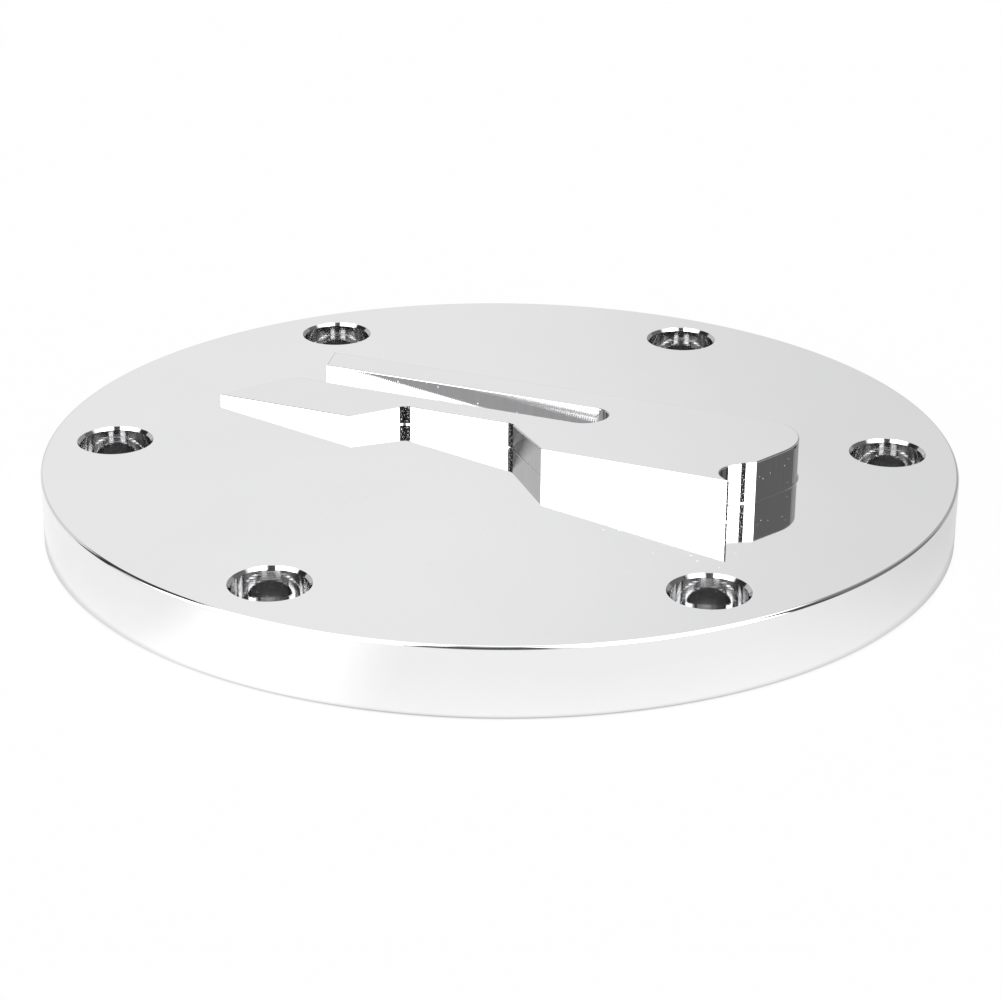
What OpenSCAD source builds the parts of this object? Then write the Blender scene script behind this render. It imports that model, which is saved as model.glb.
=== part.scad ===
// Clutch inspection (derby) cover, milled and turned from one piece of billet.
// Origin: centre of the gasket face. +Z leads out through the polished face.
// +X runs along the raised figure, towards its high end.

/* [Plate] */
// Outside diameter of the plate
plate_d = 155; // [150:1:170]
// Thickness from the gasket face to the polished face
plate_t = 11.7; // [10.5:0.1:15]
// Radius that rounds the outer edge of the polished face
rim_round = 0.6; // [0.3:0.1:1.5]
// 45 degree break on the outer edge of the gasket face
rim_break = 0.4; // [0.2:0.1:1.5]

/* [Screw holes] */
// Number of screws
screw_n = 6; // [3:1:8]
// Diameter of the circle through the screw holes
screw_pcd = 132; // [130:1:136]
// Angle of the first screw hole from +X
screw_turn = 30; // [24:1:36]
// Diameter of the clearance hole for the screw
screw_hole_d = 6.6; // [5.5:0.1:8]
// Diameter of the counterbore that takes the screw's head
head_d = 12; // [10:0.1:13]
// Depth of the counterbore
head_depth = 6.3; // [4:0.1:7]
// 45 degree break round the mouth of the counterbore
head_break = 0.5; // [0.2:0.1:0.8]
// 45 degree break where the clearance hole meets the gasket face
hole_break = 0.4; // [0.2:0.1:0.8]

/* [Clearance pocket] */
// Diameter of the turned pocket in the back, which clears the clutch
pocket_d = 112; // [90:1:114]
// Depth of the pocket
pocket_depth = 5; // [4.5:0.1:7]
// Radius at the root of the pocket's wall
pocket_root = 2; // [1:0.1:4]
// 45 degree break round the mouth of the pocket
pocket_break = 0.5; // [0.2:0.1:1.5]

/* [Raised figure] */
// Length from the sharp tip to the round end
fig_len = 103.3; // [98:0.1:105]
// Distance of the round end from the plate's centre
fig_right = 49.9; // [48:0.1:51]
// Width from the near edge to the far edge
fig_w = 28.8; // [27:0.2:30]
// Distance of the near edge from the plate's centre line
fig_near = 8.3; // [7:0.1:9]
// Height at the tip
tip_h = 1.3; // [0.8:0.1:3]
// Height at the round end
end_h = 7.2; // [5:0.1:9]
// Radius that rounds the end into the far edge
end_r = 10; // [6:0.1:12]
// Lean of the end's flat side from square to the near edge, in degrees
end_lean = 15.5; // [8:0.5:20]
// Lean of both finger ends from square to the fingers, in degrees
tail_lean = 24.3; // [0:0.1:30]
// Where the lines of the two finger ends would meet, from the plate's centre line
tail_y = 11.1; // [8:0.1:13]
// Radius in the inner corners, left by the mill
mill_r = 2; // [1:0.1:3]

/* [Slot] */
// Width of the slot between the two fingers
slot_w = 7.8; // [6:0.1:9]
// Width of the far finger
finger_w = 7.1; // [5:0.1:9]
// Distance of the slot's round end from the plate's centre
slot_end = 15.2; // [8:0.2:22]

/* [Bay] */
// Depth of the bay in the near edge
bay_depth = 8.6; // [5:0.1:10]
// Where the bay's left side leaves the near edge
bay_left = -25.3; // [-30:0.1:-20]
// Where the bay's right side meets the near edge
bay_right = 13.1; // [9:0.1:18]
// Angle between the near edge and the bay's left side
bay_left_angle = 56.5; // [45:0.5:85]
// Angle between the near edge and the bay's right side
bay_right_angle = 38; // [32:0.5:60]

/* [Lip] */
// Distance of the lip's sharp corner from the figure's round end, along the figure
lip_back = 2.3; // [1.6:0.1:4]
// Angle of the lip's undercut from the near edge
lip_angle = 36; // [30:1:45]
// Length of the undercut to its inner corner, before rounding
lip_len = 6.8; // [6:0.1:8]
// Angle of the notch's other side from the near edge
notch_angle = 45; // [38:1:55]
// Radius at the bottom of the notch
notch_r = 3.8; // [2:0.1:4.2]

/* [Hidden] */
$fn = 96;
plate_r = plate_d / 2;
pocket_r = pocket_d / 2;
// overshoot that lets a cut run clear of the face it opens
over = 1;
// what an arc reaches past the line it runs into, so that the two cross cleanly
snug = 0.002;
// height that clears the tallest part of the figure
tall = 2 * max(tip_h, end_h);
// rise of the figure's top face
rise_angle = atan((end_h - tip_h) / fig_len);
tip_x = fig_right - fig_len;
near_y = -fig_near;
far_y = near_y + fig_w;
slot_y = far_y - finger_w - slot_w / 2;
bay_y = near_y + bay_depth;
// inner point of the swallow tail that the two finger ends lie on
tail_point = [tip_x + (tail_y - near_y) * tan(tail_lean), tail_y];
// centre of the round end, and where it leaves the end's flat side
end_middle = [fig_right - end_r, far_y - end_r];
end_flat = end_middle + end_r * [cos(end_lean), -sin(end_lean)];

// The corners of the bay and of the notch that the mill rounds
bay_corner_l = [bay_left + bay_depth / tan(bay_left_angle), bay_y];
bay_corner_r = [bay_right - bay_depth / tan(bay_right_angle), bay_y];
lip_corner = [fig_right - lip_back, near_y];
notch_corner = lip_corner + lip_len * [-cos(lip_angle), sin(lip_angle)];

// A filler for the inner corner at p, whose open side lies between the directions
// from and to (counter-clockwise, in degrees) and is rounded to radius r
module inner_round(p, from, to, r) {
    half = (to - from) / 2;
    mid = from + half;
    reach = r / tan(half);
    middle = r / sin(half) * [cos(mid), sin(mid)];
    translate(p)
        difference() {
            polygon([
                -over / 2 * [cos(mid), sin(mid)],
                reach * [cos(from), sin(from)],
                middle,
                reach * [cos(to), sin(to)]
            ]);
            translate(middle) circle(r + snug);
        }
}

// Half of the plate's section, with the pocket, as turned on the lathe
module plate_section() {
    difference() {
        union() {
            square([plate_r, plate_t - rim_round]);
            square([plate_r - rim_round, plate_t]);
            translate([plate_r - rim_round, plate_t - rim_round]) circle(rim_round);
        }
        translate([0, -over]) square([pocket_r, pocket_depth - pocket_root + over]);
        translate([0, -over]) square([pocket_r - pocket_root, pocket_depth + over]);
        translate([pocket_r - pocket_root, pocket_depth - pocket_root]) circle(pocket_root);
        polygon([
            [pocket_r - over, -over],
            [pocket_r + pocket_break + over, -over],
            [pocket_r - over, pocket_break + over]
        ]);
        polygon([
            [plate_r - rim_break - over, -over],
            [plate_r + over, -over],
            [plate_r + over, rim_break + over]
        ]);
    }
}

// One screw hole: clearance hole, counterbore and the break at each mouth
module screw_hole() {
    translate([0, 0, -over]) cylinder(d = screw_hole_d, h = plate_t + 2 * over);
    translate([0, 0, plate_t - head_depth]) cylinder(d = head_d, h = head_depth + over);
    translate([0, 0, plate_t - head_break])
        cylinder(r1 = head_d / 2, r2 = head_d / 2 + head_break + over, h = head_break + over);
    translate([0, 0, -over])
        cylinder(r1 = screw_hole_d / 2 + hole_break + over, r2 = screw_hole_d / 2,
                 h = hole_break + over);
}

// The figure without its bay, slot and notch
module figure_blank() {
    polygon([
        [tip_x, near_y],
        [end_flat.x - (end_flat.y - near_y) * tan(end_lean), near_y],
        end_flat,
        end_middle,
        [end_middle.x, far_y],
        [tail_point.x - (far_y - tail_y) * tan(tail_lean), far_y],
        tail_point
    ]);
    translate(end_middle) circle(end_r + snug);
    // the lip, which runs on past the end's flat side
    translate([bay_right, near_y])
        square([lip_corner.x - bay_right, notch_corner.y - near_y]);
}

module bay() {
    polygon([
        [bay_left - over / tan(bay_left_angle), near_y - over],
        [bay_right + over / tan(bay_right_angle), near_y - over],
        bay_corner_r,
        bay_corner_l
    ]);
}

module slot() {
    translate([slot_end - slot_w / 2, slot_y]) circle(d = slot_w);
    translate([tip_x - over, slot_y - slot_w / 2])
        square([slot_end - slot_w / 2 - tip_x + over, slot_w]);
}

// The notch that leaves the lip its sharp corner
module notch() {
    polygon([
        notch_corner,
        notch_corner + 2 * lip_len * [cos(lip_angle), -sin(lip_angle)],
        notch_corner + 2 * lip_len * [cos(notch_angle), sin(notch_angle)]
    ]);
}

module figure_outline() {
    difference() {
        figure_blank();
        bay();
        slot();
        notch();
    }
    inner_round(bay_corner_l, 180 + bay_left_angle, 360, mill_r);
    inner_round(bay_corner_r, 180, 360 - bay_right_angle, mill_r);
    inner_round(notch_corner, -lip_angle, notch_angle, notch_r);
}

// The raised figure, whose top rises evenly from the tip to the round end
module figure() {
    difference() {
        translate([0, 0, plate_t - over]) linear_extrude(tall + over) figure_outline();
        translate([tip_x, 0, plate_t + tip_h])
            rotate([0, -rise_angle, 0])
                translate([-plate_r, -plate_r, 0]) cube([2 * plate_d, plate_d, 3 * tall]);
    }
}

module cover() {
    color([0.86, 0.87, 0.88]) {
        difference() {
            rotate_extrude() plate_section();
            for (i = [0 : screw_n - 1])
                rotate(screw_turn + i * 360 / screw_n)
                    translate([screw_pcd / 2, 0, 0]) screw_hole();
        }
        figure();
    }
}

cover();
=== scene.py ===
"""A chromed billet derby cover, lying on a white table in a small studio.

Lengths are millimetres until a mesh is made, and metres in the materials unless a docstring
says otherwise. Angles are degrees unless a name says otherwise. The cover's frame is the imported
part's: gasket face at z = 0, polished face upwards.
"""
import math

import bpy
import numpy as np
from mathutils.geometry import delaunay_2d_cdt
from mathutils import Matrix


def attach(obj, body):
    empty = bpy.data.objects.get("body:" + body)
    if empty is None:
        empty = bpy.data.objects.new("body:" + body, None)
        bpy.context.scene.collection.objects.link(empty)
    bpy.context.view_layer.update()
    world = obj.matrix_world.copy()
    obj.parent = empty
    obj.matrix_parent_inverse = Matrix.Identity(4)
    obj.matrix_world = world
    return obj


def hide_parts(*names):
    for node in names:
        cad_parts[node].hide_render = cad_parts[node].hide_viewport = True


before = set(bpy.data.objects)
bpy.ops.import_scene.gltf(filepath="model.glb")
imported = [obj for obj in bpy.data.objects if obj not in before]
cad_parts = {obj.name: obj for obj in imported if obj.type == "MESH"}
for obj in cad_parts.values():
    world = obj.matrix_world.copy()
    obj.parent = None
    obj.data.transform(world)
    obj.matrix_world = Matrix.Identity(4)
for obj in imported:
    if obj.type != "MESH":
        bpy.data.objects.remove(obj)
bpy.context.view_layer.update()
scene = bpy.context.scene

MM = 0.001

# The cover's sizes

PLATE_R, PLATE_T = 77.5, 11.7
RIM_ROUND, RIM_BREAK = 0.6, 0.4
HOLES, HOLE_CIRCLE_R, HOLE_TURN = 6, 66.0, 30.0
SCREW_R, HEAD_R, HEAD_DEPTH = 3.3, 6.0, 6.3
HEAD_BREAK, HOLE_BREAK = 0.5, 0.4
POCKET_R, POCKET_DEPTH, POCKET_ROOT, POCKET_BREAK = 56.0, 5.0, 2.0, 0.5

FIG_LEN, FIG_RIGHT, FIG_W, FIG_NEAR = 103.3, 49.9, 28.8, 8.3
TIP_H, END_H, END_R, END_LEAN = 1.3, 7.2, 10.0, 15.5
TAIL_LEAN, TAIL_Y, MILL_R = 24.3, 11.1, 2.0
SLOT_W, FINGER_W, SLOT_END = 7.8, 7.1, 15.2
BAY_DEPTH, BAY_LEFT, BAY_RIGHT = 8.6, -25.3, 13.1
BAY_LEFT_ANGLE, BAY_RIGHT_ANGLE = 56.5, 38.0
LIP_BACK, LIP_ANGLE, LIP_LEN = 2.3, 36.0, 6.8
NOTCH_ANGLE, NOTCH_R = 45.0, 3.8

# fine radii that only the dressed part has: at the foot of the figure's walls, where the
# cutter's nose leaves one, on the figure's edges, where the buffing wheel does, and in a
# counterbore at its root and at the edge of the clearance hole
FOOT_R, EDGE_R, TURNED_ROOT, TURNED_EDGE = 0.24, 0.25, 0.16, 0.08
# a strip of the notch's far side that the wheel missed, dull and dark with painted shade: its
# place beyond the notch's arc, and its width
MISSED_AT, MISSED_W = 0.95, 0.8
# the strip of the near wall along the lip's keen edge that stays rough, dark with painted shade
KEEN_W = 0.32

# how many steps make an arc or a circle, enough for no corner to show in a mirror finish
RIM_STEPS, HOLE_STEPS, ROUND_STEPS = 720, 144, 16
BAY_LEFT_STEPS, BAY_RIGHT_STEPS, NOTCH_STEPS, END_STEPS, SLOT_STEPS = 40, 32, 56, 80, 72
FINE_STEPS, HOLE_EDGE_STEPS = 6, 4
# points that are the same when rounded to this many decimals of a millimetre become one
WELD_DECIMALS = 4
# constrained points nearer than this, in millimetres, are one point of a flat face
SHEET_NEARNESS = 1e-7

# the map that the cutter's marks follow
MARKS = "cutter_marks"

# the finishes, by their place in the list of materials; one is dull and dark with painted shade
POLISHED, TURNED, MILLED, SHADE_PAINTED, BACK = range(5)


# Outlines and profiles

def unit(angle):
    """The direction at an angle from +X."""
    a = np.radians(angle)
    return np.array([np.cos(a), np.sin(a)])


def arc(centre, radius, start, end, steps):
    """Points at centre + radius * unit(angle), with the angle in even steps from start to end."""
    a = np.radians(np.linspace(start, end, steps + 1))
    return np.asarray(centre) + radius * np.c_[np.cos(a), np.sin(a)]


def milled_corner(corner, start, end, radius, steps):
    """The arc a cutter leaves in an inner corner, which opens between the directions start and end.

    Its centre lies on the half angle, radius / sin(half) from the corner, and the arc runs from
    one side's touching point to the other's, the short way."""
    half = (end - start) / 2
    middle = corner + radius / math.sin(math.radians(half)) * unit(start + half)
    return arc(middle, radius, start - 90, start + 2 * half - 270, steps)


def figure_outline():
    """The raised figure's outline, counter-clockwise, and for each point the number and the finish
    of the run that leads to it. A run is one flat or one arc."""
    tip_x, near, far = FIG_RIGHT - FIG_LEN, -FIG_NEAR, FIG_W - FIG_NEAR
    slot_far = far - FINGER_W
    slot_near = slot_far - SLOT_W
    bay_y = near + BAY_DEPTH
    bay_l = np.array([BAY_LEFT + BAY_DEPTH / math.tan(math.radians(BAY_LEFT_ANGLE)), bay_y])
    bay_r = np.array([BAY_RIGHT - BAY_DEPTH / math.tan(math.radians(BAY_RIGHT_ANGLE)), bay_y])
    lip = np.array([FIG_RIGHT - LIP_BACK, near])
    notch = lip + LIP_LEN * unit(180 - LIP_ANGLE)
    end_middle = np.array([FIG_RIGHT - END_R, far - END_R])
    flat_top = end_middle + END_R * unit(-END_LEAN)
    # where the notch's far side runs out of the end's flat side
    lean = math.tan(math.radians(END_LEAN))
    side = unit(NOTCH_ANGLE)
    run = (flat_top[0] - (flat_top[1] - notch[1]) * lean - notch[0]) / (side[0] - side[1] * lean)
    notch_out = notch + run * side
    tail = math.tan(math.radians(TAIL_LEAN))
    tail_x = tip_x + (TAIL_Y - near) * tail

    def tail_at(y):
        """The point of the two fingers' ends, a swallow tail, at y."""
        return [tail_x - abs(y - TAIL_Y) * tail, y]

    def bend(points, finish=MILLED):
        """The flat that leads to an arc, and the arc."""
        return [(MILLED, points[:1]), (finish, points[1:])]

    notch_arc = milled_corner(notch, -LIP_ANGLE, NOTCH_ANGLE, NOTCH_R, NOTCH_STEPS)
    bay_l_arc = milled_corner(bay_l, 180 + BAY_LEFT_ANGLE, 360, MILL_R, BAY_LEFT_STEPS)
    bay_r_arc = milled_corner(bay_r, 180, 360 - BAY_RIGHT_ANGLE, MILL_R, BAY_RIGHT_STEPS)
    slot_middle = [SLOT_END - SLOT_W / 2, slot_far - SLOT_W / 2]
    runs = [
        (MILLED, [[tip_x, near]]),
        (MILLED, [[BAY_LEFT, near]]),
        # the bays' corners, the lip's keen strip and the notch's missed strip are dark with painted
        # shade
        *bend(bay_l_arc, SHADE_PAINTED),
        *bend(bay_r_arc, SHADE_PAINTED),
        (MILLED, [[BAY_RIGHT, near]]),
        (MILLED, [lip - [KEEN_W, 0]]),
        (SHADE_PAINTED, [lip]),
        *bend(notch_arc),
        (MILLED, [notch_arc[-1] + MISSED_AT * side]),
        (SHADE_PAINTED, [notch_arc[-1] + (MISSED_AT + MISSED_W) * side]),
        (MILLED, [notch_out]),
        *bend(arc(end_middle, END_R, -END_LEAN, 90, END_STEPS)),
        (MILLED, [tail_at(far)]),
        (MILLED, [tail_at(slot_far)]),
        *bend(arc(slot_middle, SLOT_W / 2, 90, -90, SLOT_STEPS)),
        (MILLED, [tail_at(slot_near)]),
    ]
    sizes = [len(points) for _, points in runs]
    outline = np.vstack([np.asarray(points, float) for _, points in runs])
    finishes = np.repeat([finish for finish, _ in runs], sizes)
    return outline, np.repeat(np.arange(len(runs)), sizes), finishes


def mitres(points):
    """For each corner of a closed outline, the step that moves both its sides out by 1.

    The sides' outward normals n and m give it: (n + m) / (1 + n . m)."""
    step = np.roll(points, -1, 0) - points
    step /= np.linalg.norm(step, axis=1)[:, None]
    after = np.c_[step[:, 1], -step[:, 0]]
    before = np.roll(after, 1, 0)
    return (after + before) / (1 + (after * before).sum(1))[:, None]


def top_height(x):
    """Height of the figure's top face over x: it rises evenly from the tip to the round end."""
    return PLATE_T + TIP_H + (x - FIG_RIGHT + FIG_LEN) * (END_H - TIP_H) / FIG_LEN


def chain(*parts):
    """One profile, as (points, part number of each step), from parts that each start where
    the last one ended."""
    points = [np.asarray(parts[0], float)]
    points += [np.asarray(p, float)[1:] for p in parts[1:]]
    number = np.concatenate([[i] * (len(p) - 1) for i, p in enumerate(parts)])
    return np.vstack(points), number


def flat(a, b):
    """A straight part of a profile."""
    return [a, b]


# Pieces of surface. Each is (vertices, triangles, patch numbers, way across the cutter's marks
# at each corner of each triangle). Patches that meet keep a sharp edge.

def net(points, patch, across):
    """Triangles over a grid of points (rows, columns, 3) whose last row joins its first.

    With rows counter-clockwise round an upright axis and columns from the outside foot upwards,
    the faces look outwards. patch has a number for each cell. across has a value for each point,
    and one more row for where the last row comes round to the first."""
    rows, columns = points.shape[:2]
    at = np.arange(rows * columns).reshape(rows, columns)
    at = np.vstack([at, at[:1]])

    def cells(grid):
        """A grid's values at the corners of the two triangles in each of its cells."""
        a, b, c, d = grid[:-1, :-1], grid[1:, :-1], grid[1:, 1:], grid[:-1, 1:]
        return np.stack([a, b, c, a, c, d], -1).reshape(-1, 3)

    return points.reshape(-1, 3), cells(at), np.repeat(np.ravel(patch), 2), cells(across)


def lengths(points):
    """How far along a line each of its points lies."""
    return np.r_[0, np.cumsum(np.linalg.norm(np.diff(points, axis=0), axis=1))]


def turned(profile, number, centre, steps):
    """A profile of (radius, z) points, turned about the upright axis through centre: at each
    angle the point is centre + radius * (cos, sin). The tool's marks are rings, so the way
    across them is the way along the profile."""
    a = 2 * np.pi * np.arange(steps) / steps
    r, z = profile.T
    points = np.stack([
        centre[0] + np.outer(np.cos(a), r),
        centre[1] + np.outer(np.sin(a), r),
        np.broadcast_to(z, (steps, len(z))),
    ], -1)
    return net(points, np.broadcast_to(number, (steps, len(number))),
               np.broadcast_to(lengths(profile), (steps + 1, len(z))))


def ring(radius, centre, steps):
    """The points of a turned circle, as turned() places them."""
    a = 2 * np.pi * np.arange(steps) / steps
    return np.asarray(centre) + radius * np.c_[np.cos(a), np.sin(a)]


def inside(points, loop):
    """True for each point inside a closed loop: a line from it to +X crosses the loop an odd
    number of times."""
    x, y = points[:, :1], points[:, 1:]
    a, b = loop, np.roll(loop, -1, 0)
    spans = (a[:, 1] > y) != (b[:, 1] > y)
    rise = np.where(b[:, 1] == a[:, 1], 1, b[:, 1] - a[:, 1])
    reach = a[:, 0] + (y - a[:, 1]) * (b[:, 0] - a[:, 0]) / rise
    return (spans & (x < reach)).sum(1) % 2 == 1


def sheet(outer, openings, height, up):
    """A flat face that fills the loop outer but not the loops in openings, at the heights that
    height gives for its points. It looks up or down. Marks on it are rings round the origin."""
    loops = [outer, *openings]
    points = np.vstack(loops)
    starts = np.cumsum([0] + [len(l) for l in loops])
    edges = np.vstack([
        np.c_[np.arange(s, e), np.r_[np.arange(s + 1, e), s]]
        for s, e in zip(starts[:-1], starts[1:])
    ])
    found = delaunay_2d_cdt(points.tolist(), edges.tolist(), [], 0, SHEET_NEARNESS)
    # found[3] says which given point each found one is; the given one is the more exact
    faces = np.ravel(found[3])[np.array(found[2])]
    middle = points[faces].mean(1)
    keep = inside(middle, outer)
    for loop in openings:
        keep &= ~inside(middle, loop)
    faces = faces[keep]
    a, b, c = (points[faces[:, i]] for i in range(3))
    turn = (b[:, 0] - a[:, 0]) * (c[:, 1] - a[:, 1]) - (b[:, 1] - a[:, 1]) * (c[:, 0] - a[:, 0])
    wrong = (turn > 0) != up
    faces[wrong] = faces[wrong][:, ::-1]
    across = np.linalg.norm(points, axis=1)[faces]
    return np.c_[points, height(points)], faces, np.zeros(len(faces), int), across


# The cover's surfaces

def hole_centres():
    """The screw holes' places, evenly round their circle."""
    return [HOLE_CIRCLE_R * unit(HOLE_TURN + 360 / HOLES * i) for i in range(HOLES)]


def rim():
    """The plate's edge: break, wall and the buffed round that leads into the polished face."""
    parts = [
        flat([PLATE_R - RIM_BREAK, 0], [PLATE_R, RIM_BREAK]),
        flat([PLATE_R, RIM_BREAK], [PLATE_R, PLATE_T - RIM_ROUND]),
        arc([PLATE_R - RIM_ROUND, PLATE_T - RIM_ROUND], RIM_ROUND, 0, 90, ROUND_STEPS),
    ]
    return turned(*chain(*parts), (0, 0), RIM_STEPS)


def pocket():
    """The turned pocket in the back: its roof from the middle out, root radius, wall and break."""
    root_middle = [POCKET_R - POCKET_ROOT, POCKET_DEPTH - POCKET_ROOT]
    parts = [
        flat([0, POCKET_DEPTH], [POCKET_R - POCKET_ROOT, POCKET_DEPTH]),
        arc(root_middle, POCKET_ROOT, 90, 0, ROUND_STEPS),
        flat([POCKET_R, POCKET_DEPTH - POCKET_ROOT], [POCKET_R, POCKET_BREAK]),
        flat([POCKET_R, POCKET_BREAK], [POCKET_R + POCKET_BREAK, 0]),
    ]
    return turned(*chain(*parts), (0, 0), RIM_STEPS)


def screw_hole(centre):
    """One screw hole, from the polished face down: break, counterbore wall, its floor with the
    cutter's small root radius, clearance hole and the break at the gasket face."""
    floor = PLATE_T - HEAD_DEPTH
    root, edge = TURNED_ROOT, TURNED_EDGE
    parts = [
        flat([HEAD_R + HEAD_BREAK, PLATE_T], [HEAD_R, PLATE_T - HEAD_BREAK]),
        flat([HEAD_R, PLATE_T - HEAD_BREAK], [HEAD_R, floor + root]),
        arc([HEAD_R - root, floor + root], root, 0, -90, FINE_STEPS),
        flat([HEAD_R - root, floor], [SCREW_R + edge, floor]),
        arc([SCREW_R + edge, floor - edge], edge, 90, 180, HOLE_EDGE_STEPS),
        flat([SCREW_R, floor - edge], [SCREW_R, HOLE_BREAK]),
        flat([SCREW_R, HOLE_BREAK], [SCREW_R + HOLE_BREAK, 0]),
    ]
    return turned(*chain(*parts), centre, HOLE_STEPS)


def figure_walls(outline, number, finish):
    """The figure's walls, and each triangle's finish: at each point of the outline a profile
    stands, the foot radius, the upright and the edge radius, with its way out scaled by the
    corner's mitre. The cutter's marks are upright, so the way across them is the way along the
    outline. The foot radius is bright all round, because the cutter's nose burnishes it."""
    t = np.radians(np.linspace(0, 90, FINE_STEPS + 1))
    out = np.r_[FOOT_R * (1 - np.sin(t)), -EDGE_R * (1 - np.cos(t))]
    part = np.array([0] * FINE_STEPS + [1] + [2] * FINE_STEPS)
    plan = outline[:, None, :] + out[None, :, None] * mitres(outline)[:, None, :]
    foot = PLATE_T + FOOT_R * (1 - np.cos(t))
    z = np.hstack([
        np.broadcast_to(foot, (len(outline), len(t))),
        top_height(plan[:, len(t):, 0]) - EDGE_R * (1 - np.sin(t)),
    ])
    # the cell that starts at a point belongs to the run that leads to the next point
    patch = 3 * np.roll(number, -1)[:, None] + part
    looks = np.where(part == 0, MILLED, np.roll(finish, -1)[:, None])
    along = lengths(np.vstack([outline, outline[:1]]))
    walls = net(np.dstack([plan, z]), patch, np.repeat(along[:, None], 2 * len(t), 1))
    return walls, np.repeat(looks.ravel(), 2)


def cover_surface():
    """All of the cover's surfaces, each with its finish, or with one for each triangle."""
    outline, number, finish = figure_outline()
    corner = mitres(outline)
    holes = hole_centres()
    rim_edge = ring(PLATE_R - RIM_ROUND, (0, 0), RIM_STEPS)
    mouths = [ring(HEAD_R + HEAD_BREAK, c, HOLE_STEPS) for c in holes]
    backs = [ring(SCREW_R + HOLE_BREAK, c, HOLE_STEPS) for c in holes]
    foot_line = outline + FOOT_R * corner
    top_line = outline - EDGE_R * corner
    yield rim(), POLISHED
    yield sheet(rim_edge, [*mouths, foot_line], lambda p: np.full(len(p), PLATE_T), True), POLISHED
    yield sheet(top_line, [], lambda p: top_height(p[:, 0]), True), POLISHED
    yield figure_walls(outline, number, finish)
    for c in holes:
        yield screw_hole(c), TURNED
    yield pocket(), BACK
    gasket = ring(PLATE_R - RIM_BREAK, (0, 0), RIM_STEPS)
    bore = ring(POCKET_R + POCKET_BREAK, (0, 0), RIM_STEPS)
    yield sheet(gasket, [bore, *backs], lambda p: np.zeros(len(p)), False), BACK


def joined(surfaces):
    """All surfaces as one closed mesh: points that coincide become one, and triangles that
    shrink to a line at a pole go. Gives points, triangles, patches, finishes and, at each corner,
    (way across the marks, z)."""
    points, faces, patches, finishes, maps = [], [], [], [], []
    base = numbers = 0
    for (p, f, n, across), finish in surfaces:
        points.append(p)
        faces.append(f + base)
        patches.append(n + numbers)
        finishes.append(np.broadcast_to(finish, len(f)))
        maps.append(np.dstack([across, p[f][:, :, 2]]))
        base += len(p)
        numbers += n.max() + 1
    points = np.vstack(points)
    _, first, same = np.unique(
        np.round(points, WELD_DECIMALS), axis=0, return_index=True, return_inverse=True)
    faces = same.ravel()[np.vstack(faces)]
    whole = (faces != np.roll(faces, 1, 1)).all(1)
    each = [np.concatenate(x)[whole] for x in (patches, finishes, maps)]
    return points[first], faces[whole], *each


def sharpen(mesh, patches):
    """Marks every edge between two patches as sharp, so that a flat stays flat in a mirror
    finish."""
    edge = np.zeros(len(mesh.loops), np.int64)
    mesh.loops.foreach_get("edge_index", edge)
    patch = np.repeat(patches, 3)
    low = np.full(len(mesh.edges), patches.max() + 1)
    high = np.full(len(mesh.edges), -1)
    np.minimum.at(low, edge, patch)
    np.maximum.at(high, edge, patch)
    mark = mesh.attributes.new("sharp_edge", "BOOLEAN", "EDGE")
    mark.data.foreach_set("value", low != high)


def make_cover():
    """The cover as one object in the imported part's frame."""
    points, faces, patches, finishes, maps = joined(cover_surface())
    mesh = bpy.data.meshes.new("cover_billet")
    mesh.from_pydata((points * MM).tolist(), [], faces.tolist())
    mesh.shade_smooth()
    sharpen(mesh, patches)
    mesh.polygons.foreach_set("material_index", finishes)
    # the map is in millimetres: u crosses the cutter's marks and v is the height
    mesh.uv_layers.new(name=MARKS).uv.foreach_set("vector", maps.astype(np.float32).ravel())
    mesh.update()
    piece = bpy.data.objects.new("cover_billet", mesh)
    scene.collection.objects.link(piece)
    return piece


# Materials

# a noise seldom leaves this range, so a finish takes its whole change over it
NOISE_LOW, NOISE_HIGH = 0.3, 0.7


def linear(code):
    """The linear colour of an sRGB hex code."""
    c = np.array([int(code[i:i + 2], 16) for i in (1, 3, 5)]) / 255
    c = np.where(c <= 0.04045, c / 12.92, ((c + 0.055) / 1.055) ** 2.4)
    return (*c.tolist(), 1.0)


def add(tree, kind, inputs=(), **settings):
    """Adds a node, with its settings and with a value or a link at each input named."""
    node = tree.nodes.new(kind)
    for name, value in settings.items():
        setattr(node, name, value)
    for name, value in dict(inputs).items():
        if isinstance(value, bpy.types.NodeSocket):
            tree.links.new(value, node.inputs[name])
        else:
            node.inputs[name].default_value = value
    return node


def new_material(name):
    """An empty material with nodes, and its tree."""
    material = bpy.data.materials.new(name)
    material.use_nodes = True
    material.node_tree.nodes.clear()
    return material, material.node_tree


def pinpricks(tree, apart, radius, kept, depth, normal):
    """Pits in the plating: round dimples, one to a cell apart metres wide, of which the share
    kept is there. Gives the normal, bent by them."""
    place = add(tree, "ShaderNodeTexCoord").outputs["Object"]
    cells = add(tree, "ShaderNodeTexVoronoi", {"Vector": place, "Scale": 1 / apart})
    dent = add(tree, "ShaderNodeMapRange", {
        "Value": cells.outputs["Distance"], "From Min": 0.0, "From Max": radius / apart,
        "To Min": 1.0, "To Max": 0.0}, interpolation_type="SMOOTHSTEP")
    chance = add(tree, "ShaderNodeSeparateColor", {"Color": cells.outputs["Color"]})
    there = add(tree, "ShaderNodeMath", {0: chance.outputs["Red"], 1: kept}, operation="LESS_THAN")
    depths = add(tree, "ShaderNodeMath", {
        0: dent.outputs["Result"], 1: there.outputs["Value"]}, operation="MULTIPLY")
    pits = add(tree, "ShaderNodeBump", {
        "Height": depths.outputs["Value"], "Distance": depth, "Normal": normal}, invert=True)
    return pits.outputs["Normal"]


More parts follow.
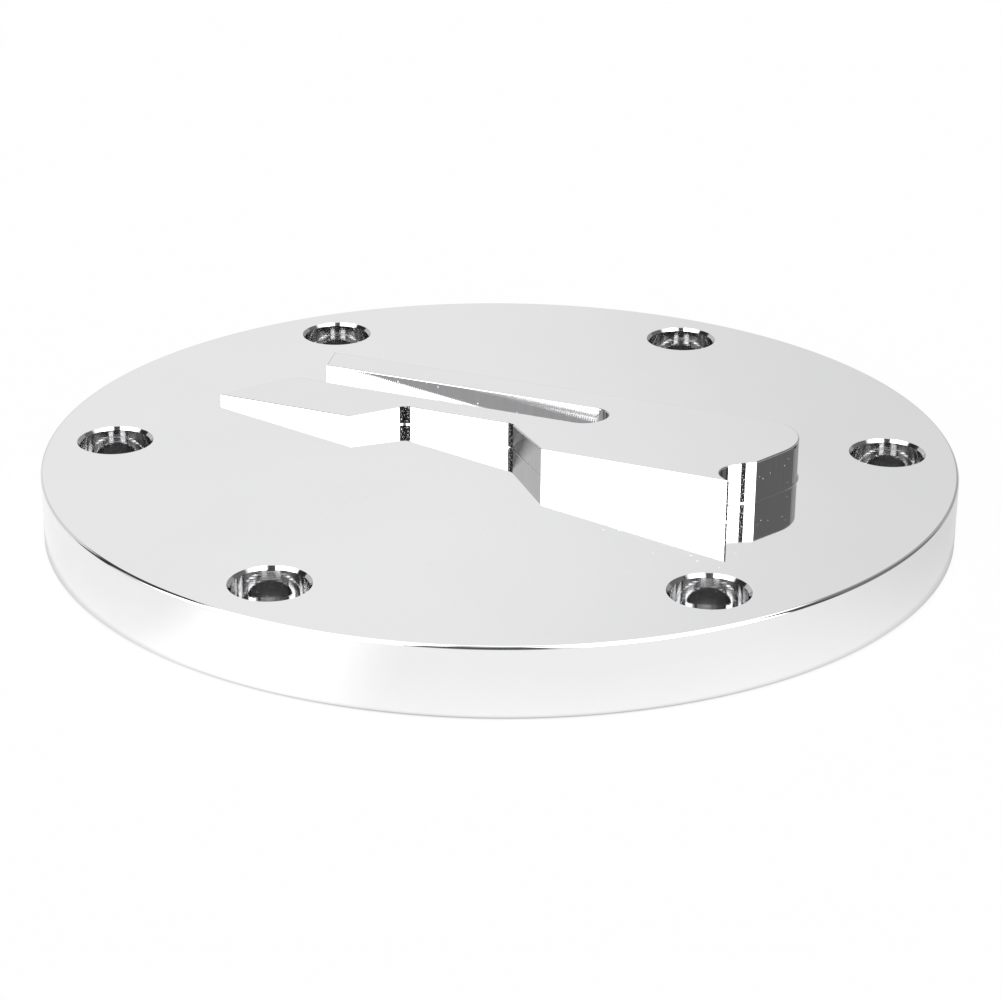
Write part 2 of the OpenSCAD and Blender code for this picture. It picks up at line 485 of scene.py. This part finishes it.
def scallops(tree, pitch, height):
    """The ridges a cutter leaves: across them the height is height * (2 f - 1) ^ 2, where f is
    the place between two ridges, from 0 to 1. pitch is in mm and height in metres."""
    place = add(tree, "ShaderNodeUVMap", uv_map=MARKS).outputs["UV"]
    across = add(tree, "ShaderNodeSeparateXYZ", {"Vector": place}).outputs["X"]
    step = add(tree, "ShaderNodeMath", {0: across, 1: 1 / pitch}, operation="MULTIPLY")
    part = add(tree, "ShaderNodeMath", {0: step.outputs["Value"]}, operation="FRACT")
    off = add(tree, "ShaderNodeMath", {0: part.outputs["Value"], 1: 2.0, 2: -1.0},
              operation="MULTIPLY_ADD")
    rise = add(tree, "ShaderNodeMath", {0: off.outputs["Value"], 1: off.outputs["Value"]},
               operation="MULTIPLY")
    ridges = add(tree, "ShaderNodeBump", {"Height": rise.outputs["Value"], "Distance": height})
    return ridges.outputs["Normal"]


def plated(tree, pattern, dark, bright, smooth, dull, normal):
    """The shader of a chromium finish: as the pattern's value rises, its colour goes from dark
    to bright and its roughness from smooth to dull. normal carries its pits and ridges."""
    tone = add(tree, "ShaderNodeMix", {
        "Factor": pattern, "A": linear(dark), "B": linear(bright)}, data_type="RGBA")
    rough = add(tree, "ShaderNodeMapRange", {
        "Value": pattern, "From Min": NOISE_LOW, "From Max": NOISE_HIGH,
        "To Min": smooth, "To Max": dull})
    shader = add(tree, "ShaderNodeBsdfPrincipled", {
        "Base Color": tone.outputs["Result"], "Metallic": 1.0, "Roughness": rough.outputs["Result"],
        "Normal": normal})
    add(tree, "ShaderNodeOutputMaterial", {"Surface": shader.outputs["BSDF"]})


def polished_chrome():
    """Bright chromium over aluminium that was buffed flat: an almost perfect mirror. The wheel
    leaves a very low waviness some 12 mm long and a haze that comes and goes over 30 mm, and
    the plating has a few pinpricks."""
    material, tree = new_material("polished_chrome")
    place = add(tree, "ShaderNodeTexCoord").outputs["Object"]
    haze = add(tree, "ShaderNodeTexNoise", {"Vector": place, "Scale": 33.0, "Detail": 3.0})
    wave = add(tree, "ShaderNodeTexNoise", {"Vector": place, "Scale": 80.0, "Detail": 1.0})
    bump = add(tree, "ShaderNodeBump", {"Height": wave.outputs["Fac"], "Distance": 3e-6})
    pits = pinpricks(tree, apart=0.0018, radius=0.00015, kept=0.4, depth=3e-5,
                     normal=bump.outputs["Normal"])
    plated(tree, haze.outputs["Fac"], dark="#ECECED", bright="#F1F1F2",
           smooth=0.018, dull=0.045, normal=pits)
    return material


def turned_chrome():
    """Chromium over a counterbore's turned walls: a mirror ruled with fine rings, a little
    darker than the buffed face and uneven over some 2.5 mm. A ring is drawn 0.3 mm wide, some
    three times the real feed, to show at all."""
    material, tree = new_material("turned_chrome")
    place = add(tree, "ShaderNodeTexCoord").outputs["Object"]
    patches = add(tree, "ShaderNodeTexNoise", {"Vector": place, "Scale": 400.0, "Detail": 2.0})
    pits = pinpricks(tree, apart=0.0011, radius=0.00012, kept=0.5, depth=1e-5,
                     normal=scallops(tree, pitch=0.3, height=0.8e-6))
    plated(tree, patches.outputs["Fac"], dark="#C0C0C1", bright="#DEDEDE",
           smooth=0.045, dull=0.1, normal=pits)
    return material


def milled_chrome():
    """Chromium over walls cut with the side of an end mill and hardly buffed: a mirror with fine
    upright ridges, which make a dotted line of every hard border in it, some streaks, and more
    pinpricks than the face has. The ridges are drawn 0.45 mm apart, coarser than real ones, to show."""
    material, tree = new_material("milled_chrome")
    place = add(tree, "ShaderNodeUVMap", uv_map=MARKS).outputs["UV"]
    # streaks some 1 mm apart that run from foot to top
    stretch = add(tree, "ShaderNodeVectorMath", {0: place, 1: (1.0, 0.06, 0.0)},
                  operation="MULTIPLY").outputs["Vector"]
    streaks = add(tree, "ShaderNodeTexNoise", {"Vector": stretch, "Scale": 0.9, "Detail": 3.0})
    pits = pinpricks(tree, apart=0.0012, radius=0.00014, kept=0.5, depth=5e-5,
                     normal=scallops(tree, pitch=0.45, height=5.4e-6))
    plated(tree, streaks.outputs["Fac"], dark="#C9C9CA", bright="#D7D7D7",
           smooth=0.02, dull=0.05, normal=pits)
    return material


def dull_with_painted_shade():
    """A tight corner that the wheel can't reach: dull, and almost black with painted shade, broken by
    upright specks some 0.2 mm wide that keep a bright chrome colour."""
    material, tree = new_material("dull_with_painted_shade")
    place = add(tree, "ShaderNodeUVMap", uv_map=MARKS).outputs["UV"]
    stretch = add(tree, "ShaderNodeVectorMath", {0: place, 1: (1.0, 0.4, 0.0)},
                  operation="MULTIPLY").outputs["Vector"]
    grain = add(tree, "ShaderNodeTexNoise", {"Vector": stretch, "Scale": 7.0, "Detail": 2.0})
    # a speck of bright chrome colour, free of the painted shade, wherever the grain peaks
    unshaded_specks = add(tree, "ShaderNodeMapRange", {
        "Value": grain.outputs["Fac"], "From Min": 0.61, "From Max": 0.66})
    # painted shade: the almost black base colour stands in for the shade in the corners and strips
    tone = add(tree, "ShaderNodeMix", {
        "Factor": unshaded_specks.outputs["Result"], "A": linear("#202021"), "B": linear("#DADADA"),
    }, data_type="RGBA")
    shader = add(tree, "ShaderNodeBsdfPrincipled", {
        "Base Color": tone.outputs["Result"], "Metallic": 1.0, "Roughness": 0.45})
    add(tree, "ShaderNodeOutputMaterial", {"Surface": shader.outputs["BSDF"]})
    return material


def turned_back():
    """Chromium over a back left as the lathe made it: bright, satin, and ruled with rings, some
    of them duller. They are drawn 0.5 mm wide, some three times the real feed, to show at all."""
    material, tree = new_material("turned_back")
    place = add(tree, "ShaderNodeUVMap", uv_map=MARKS).outputs["UV"]
    # one value to a ring, so the height takes no part
    ring_place = add(tree, "ShaderNodeVectorMath", {0: place, 1: (1.0, 0.0, 0.0)},
                     operation="MULTIPLY").outputs["Vector"]
    rings = add(tree, "ShaderNodeTexNoise", {"Vector": ring_place, "Scale": 1.1, "Detail": 3.0})
    tone = add(tree, "ShaderNodeMapRange", {
        "Value": rings.outputs["Fac"], "From Min": NOISE_LOW, "From Max": NOISE_HIGH})
    colour = add(tree, "ShaderNodeMix", {
        "Factor": tone.outputs["Result"], "A": linear("#A4A4A5"), "B": linear("#DADADA"),
    }, data_type="RGBA")
    rough = add(tree, "ShaderNodeMapRange", {
        "Value": rings.outputs["Fac"], "From Min": NOISE_LOW, "From Max": NOISE_HIGH,
        "To Min": 0.28, "To Max": 0.14})
    shader = add(tree, "ShaderNodeBsdfPrincipled", {
        "Base Color": colour.outputs["Result"], "Metallic": 1.0,
        "Roughness": rough.outputs["Result"],
        "Normal": scallops(tree, pitch=0.5, height=8e-6)})
    add(tree, "ShaderNodeOutputMaterial", {"Surface": shader.outputs["BSDF"]})
    return material


cover = make_cover()
finishes = {
    POLISHED: polished_chrome, TURNED: turned_chrome, MILLED: milled_chrome,
    SHADE_PAINTED: dull_with_painted_shade, BACK: turned_back,
}
for finish in sorted(finishes):
    cover.data.materials.append(finishes[finish]())
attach(cover, "root")
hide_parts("cover")

# Camera

# fitted to the rim, the bottom edge and the hole mouths in the photograph: place in metres,
# turn in degrees, width of the sensor and focal length in millimetres
CAMERA_PLACE = (0.20976, -0.34230, 0.17151)
CAMERA_TURN = (67.0675, -0.3558, 31.6282)
SENSOR_W, FOCAL_LENGTH = 36.0, 90.89

camera = bpy.data.objects.new("camera", bpy.data.cameras.new("camera"))
camera.data.sensor_width = SENSOR_W
camera.data.lens = FOCAL_LENGTH
camera.location = CAMERA_PLACE
camera.rotation_euler = [math.radians(a) for a in CAMERA_TURN]
scene.collection.objects.link(camera)
scene.camera = camera

# Studio: a white tent with dark openings. Only mirror-like surfaces see it; all else sees plain white.

# the way that the tent's front faces, in degrees from -Y, and the tent's brightness
FRONT, TENT = 31.5, 1.8
# the backdrop's brightness at its left and right, and its share where it meets the table
BACKDROP_LEFT, BACKDROP_RIGHT, BACKDROP_FOOT = 0.92, 0.795, 0.95
# where the backdrop changes, as parts of a direction: x from left to right and y from tent to
# backdrop; and the heights in degrees over which its foot fades
BACKDROP_X, BACKDROP_Y, BACKDROP_RISE = (-0.04, 0.17), (0.4, 0.75), (16.0, 24.0)

# what stands where round the cover: the way to it from the tent's front, + to the right, and
# its height, both in degrees, how soft its edge is, and how bright it is. Later ones cover
# earlier ones.
STUDIO = [
    ("table's edge", -400, 400, -12, 10, 6, 0.6),
    ("light left", -87, -22, 8, 72, 2, 5.0),
    ("light right", 19, 71, 8, 68, 2, 5.0),
    ("left wall", -152, -118, -12, 36, 6, 0.74),
    ("right wall", 71, 140, -12, 50, 6, 0.19),
    ("right wall's far end", 129, 160, -12, 50, 5, 0.42),
    ("right wall's edge", 71, 87, -12, 48, 3, 0.07),
    ("left opening", -128, -95, 27, 52, 3, 0.035),
    ("left opening's foot", -118, -103, 3, 29, 3, 0.04),
    ("left opening, pale end", -104, -94, 11, 28, 3, 0.65),
    ("left lintel", -152, -121, 34, 53, 4, 0.07),
    ("front opening", -21, 13, 2, 75, 3, 0.10),
    ("front opening's foot", -21, 13, 2, 14, 3, 0.35),
    ("camera's stand", -43, 29, 17, 29, 2, 0.11),
    ("tent's top", -400, 400, 79, 95, 2, 0.35),
    # what the back mirrors when it is looked at from below
    ("ground", -400, 400, -95, -12, 6, 0.9),
    ("ground in front", -70, 50, -80, -28, 24, 0.4),
    ("ground behind", 100, 160, -80, -28, 24, 0.55),
]


def window(tree, value, low, high, soft):
    """1 where value lies between low and high, 0 elsewhere, with a smooth edge soft wide."""
    up = add(tree, "ShaderNodeMapRange", {
        "Value": value, "From Min": low - soft / 2, "From Max": low + soft / 2,
    }, interpolation_type="SMOOTHSTEP").outputs["Result"]
    down = add(tree, "ShaderNodeMapRange", {
        "Value": value, "From Min": high - soft / 2, "From Max": high + soft / 2,
        "To Min": 1.0, "To Max": 0.0,
    }, interpolation_type="SMOOTHSTEP").outputs["Result"]
    return add(tree, "ShaderNodeMath", {0: up, 1: down}, operation="MULTIPLY").outputs["Value"]


def bearing(tree, way):
    """The parts x, y and z of a direction, seen from the tent's front, and in degrees its angle
    from the front, + to the right, which is atan2(x, -y)."""
    faced = add(tree, "ShaderNodeVectorRotate", {
        "Vector": way, "Angle": math.radians(-FRONT)}, rotation_type="Z_AXIS")
    part = add(tree, "ShaderNodeSeparateXYZ", {"Vector": faced.outputs["Vector"]})
    x, y, z = (part.outputs[i] for i in "XYZ")
    back = add(tree, "ShaderNodeMath", {0: y, 1: -1.0}, operation="MULTIPLY")
    angle = add(tree, "ShaderNodeMath", {0: x, 1: back.outputs["Value"]}, operation="ARCTAN2")
    degrees = add(tree, "ShaderNodeMath", {0: angle.outputs["Value"]}, operation="DEGREES")
    return x, y, z, degrees.outputs["Value"]


def make_studio():
    """The world: plain white to the camera and to dull surfaces, the tent to mirrors."""
    world = bpy.data.worlds.new("studio")
    world.use_nodes = True
    scene.world = world
    tree = world.node_tree
    tree.nodes.clear()
    x, y, z, angle = bearing(tree, add(tree, "ShaderNodeTexCoord").outputs["Generated"])
    rise = add(tree, "ShaderNodeMath", {0: z}, operation="ARCSINE")
    height = add(tree, "ShaderNodeMath", {0: rise.outputs["Value"]}, operation="DEGREES")
    across = add(tree, "ShaderNodeMapRange", {
        "Value": x, "From Min": BACKDROP_X[0], "From Max": BACKDROP_X[1],
        "To Min": BACKDROP_LEFT, "To Max": BACKDROP_RIGHT}, interpolation_type="SMOOTHSTEP")
    behind = add(tree, "ShaderNodeMapRange", {
        "Value": y, "From Min": BACKDROP_Y[0], "From Max": BACKDROP_Y[1],
    }, interpolation_type="SMOOTHSTEP")
    up = add(tree, "ShaderNodeMapRange", {
        "Value": height.outputs["Value"], "From Min": BACKDROP_RISE[0],
        "From Max": BACKDROP_RISE[1], "To Min": BACKDROP_FOOT, "To Max": 1.0})
    backdrop = add(tree, "ShaderNodeMath", {
        0: across.outputs["Result"], 1: up.outputs["Result"]}, operation="MULTIPLY")
    light = add(tree, "ShaderNodeMix", {
        "Factor": behind.outputs["Result"], "A": TENT, "B": backdrop.outputs["Value"],
    }, label="backdrop").outputs["Result"]
    for name, left, right, low, high, soft, bright in STUDIO:
        mask = add(tree, "ShaderNodeMath", {
            0: window(tree, angle, left, right, soft),
            1: window(tree, height.outputs["Value"], low, high, soft)}, operation="MULTIPLY")
        mix = add(tree, "ShaderNodeMix", {
            "Factor": mask.outputs["Value"], "A": light, "B": bright}, label=name)
        light = mix.outputs["Result"]
    tent = add(tree, "ShaderNodeBackground", {"Color": (1, 1, 1, 1), "Strength": light})
    plain = add(tree, "ShaderNodeBackground", {"Color": (1, 1, 1, 1), "Strength": 1.0})
    both = add(tree, "ShaderNodeMixShader", {
        0: add(tree, "ShaderNodeLightPath").outputs["Is Glossy Ray"],
        1: plain.outputs["Background"], 2: tent.outputs["Background"]})
    add(tree, "ShaderNodeOutputWorld", {"Surface": both.outputs["Shader"]})


# half the table's width, in metres, and the share of its white that is real light on the paper
TABLE_R, PAPER_SHARE = 3.0, 0.12
# the table's painted light and shade: its brightness in a mirror next to the rim, a painted glow
# that falls to 1 over so many millimetres, and its painted shadow under the cover
NEAR_RIM, NEAR_W, UNDER_COVER = 1.07, 15, 0.12
# how far the shadow's soft border reaches under the cover and, in a mirror, past it
SHADOW_IN, SHADOW_OUT = 2, 1.5
# the strips of table with painted light and shade: the way to each from the tent's front, in
# degrees, how soft its edge is, and how bright it is in a mirror
TABLE_STRIPS = [
    ("left side", -150, -60, 30, 0.97),
    ("under the left light", -44, -19, 14, 1.3),
    ("right side", 58, 150, 60, 0.7),
]
# what lies nearer to the table than this, in millimetres, rests on it; and how far from its
# middle the pocket spans it
TOUCHING, SPANNED_R = 0.02, 57


def make_floor():
    """A white table, wide enough to end beyond every view. It shows as white, a little less
    where the cover keeps the light off it, and lets the eye through from below.

    The rim mirrors the strip of table round it: bright where the left light falls, shaded at
    both sides, most on the right, and dark under the cover."""
    mesh = bpy.data.meshes.new("table_top")
    corners = [(-1, -1), (1, -1), (1, 1), (-1, 1)]
    mesh.from_pydata([(TABLE_R * x, TABLE_R * y, 0) for x, y in corners], [], [(0, 1, 2, 3)])
    table = bpy.data.objects.new("table_top", mesh)
    scene.collection.objects.link(table)
    material, tree = new_material("white_table_paper")
    paper = add(tree, "ShaderNodeBsdfDiffuse", {"Color": linear("#FAFAFA")})
    place = add(tree, "ShaderNodeTexCoord").outputs["Object"]
    angle = bearing(tree, place)[-1]
    away = add(tree, "ShaderNodeVectorMath", {0: place}, operation="LENGTH").outputs["Value"]
    mirrored = add(tree, "ShaderNodeMapRange", {
        "Value": away, "From Min": PLATE_R * MM, "From Max": (PLATE_R + NEAR_W) * MM,
        "To Min": NEAR_RIM, "To Max": 1.0}).outputs["Result"]
    for name, left, right, soft, bright in TABLE_STRIPS:
        strip = add(tree, "ShaderNodeMix", {
            "Factor": window(tree, angle, left, right, soft), "A": mirrored, "B": bright,
        }, label=name)
        mirrored = strip.outputs["Result"]
    path = add(tree, "ShaderNodeLightPath")
    # only the rim shows the shadow's soft border, as a fine dark line along its foot
    border = add(tree, "ShaderNodeMix", {
        "Factor": path.outputs["Is Glossy Ray"],
        "A": PLATE_R * MM, "B": (PLATE_R + SHADOW_OUT) * MM})
    clear_of = add(tree, "ShaderNodeMapRange", {
        "Value": away, "From Min": (PLATE_R - SHADOW_IN) * MM,
        "From Max": border.outputs["Result"]})
    open_table = add(tree, "ShaderNodeMix", {
        "Factor": path.outputs["Is Glossy Ray"], "A": 1.0, "B": mirrored})
    # the painted shadow under the cover, and the painted light and shade the rim mirrors round it
    light = add(tree, "ShaderNodeMix", {
        "Factor": clear_of.outputs["Result"],
        "A": UNDER_COVER, "B": open_table.outputs["Result"]})
    glow = add(tree, "ShaderNodeEmission", {
        "Color": (1, 1, 1, 1), "Strength": light.outputs["Result"]})
    show = add(tree, "ShaderNodeMixShader", {
        0: PAPER_SHARE, 1: glow.outputs["Emission"], 2: paper.outputs["BSDF"]})
    seen = add(tree, "ShaderNodeMath", {
        0: path.outputs["Is Camera Ray"], 1: path.outputs["Is Glossy Ray"]}, operation="MAXIMUM")
    either = add(tree, "ShaderNodeMixShader", {
        0: seen.outputs["Value"], 1: paper.outputs["BSDF"], 2: show.outputs["Shader"]})
    # the table is clear from below, and where the back rests on it or spans it, so that the back
    # mirrors the studio and not a table against it
    spanned = add(tree, "ShaderNodeMath", {0: away, 1: SPANNED_R * MM}, operation="LESS_THAN")
    touched = add(tree, "ShaderNodeMath", {
        0: path.outputs["Ray Length"], 1: TOUCHING * MM}, operation="LESS_THAN")
    open_below = add(tree, "ShaderNodeMath", {
        0: spanned.outputs["Value"], 1: touched.outputs["Value"]}, operation="MAXIMUM")
    gone = add(tree, "ShaderNodeMath", {
        0: open_below.outputs["Value"],
        1: add(tree, "ShaderNodeNewGeometry").outputs["Backfacing"]}, operation="MAXIMUM")
    clear = add(tree, "ShaderNodeBsdfTransparent")
    whole = add(tree, "ShaderNodeMixShader", {
        0: gone.outputs["Value"], 1: either.outputs["Shader"], 2: clear.outputs["BSDF"]})
    add(tree, "ShaderNodeOutputMaterial", {"Surface": whole.outputs["Shader"]})
    mesh.materials.append(material)


make_studio()
make_floor()

scene.view_settings.view_transform = "Standard"
# the slot's and the holes' walls mirror each other many times over
scene.cycles.glossy_bounces = 10
